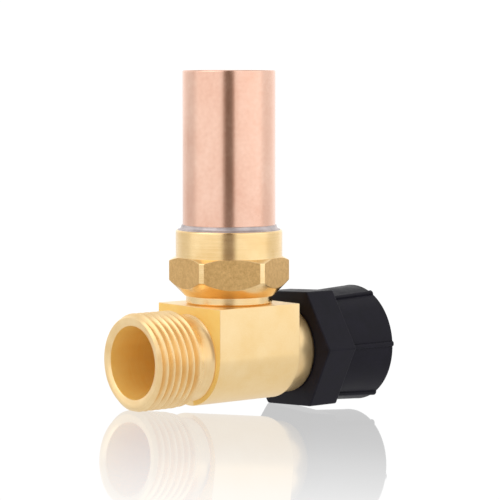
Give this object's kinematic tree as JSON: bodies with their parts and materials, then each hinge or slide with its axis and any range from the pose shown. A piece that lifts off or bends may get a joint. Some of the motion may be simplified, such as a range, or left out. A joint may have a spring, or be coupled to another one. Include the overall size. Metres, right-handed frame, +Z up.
{
  "type": "hose tee with water hammer arrestor",
  "caption": "Brass inline tee with a male hose thread, a ribbed black swivel nut, and a capped copper tube on a hexagonal base standing on its branch.",
  "frame": {"origin": "where the run's axis meets the chamber's axis, at the middle of the tee", "axes": "+X along the run towards the swivel nut, -X towards the male hose thread, +Z up the chamber"},
  "size_m": [0.0818, 0.0374, 0.0965],
  "materials": {
    "brass": "turned and forged, satin",
    "copper": "plain copper tube, satin",
    "braze": "silver braze, smooth",
    "nut_plastic": "moulded, fine matte",
    "piston_plastic": "moulded",
    "rubber": "moulded",
    "spring_steel": "drawn wire"
  },
  "bodies": {
    "tee": {"tee_body": "brass", "chamber_base": "brass", "base_seal_ring": "rubber", "copper_chamber": "copper", "braze_ring": "braze", "nut_retaining_ring": "spring_steel"},
    "nut": {"swivel_nut": "nut_plastic", "hose_washer": "rubber"},
    "piston": {"piston": "piston_plastic", "piston_oring_lower": "rubber", "piston_oring_upper": "rubber"}
  },
  "joints": [
    {"name": "nut_spin", "type": "hinge", "parent": "tee", "child": "nut", "pos_m": [0.03, 0, 0], "axis": [1, 0, 0], "continuous": true},
    {"name": "piston_slide", "type": "slide", "parent": "tee", "child": "piston", "axis": [0, 0, 1], "range_m": [0, 0.026], "stiffness_N_per_m": 300, "springref_m": -0.01}
  ]
}
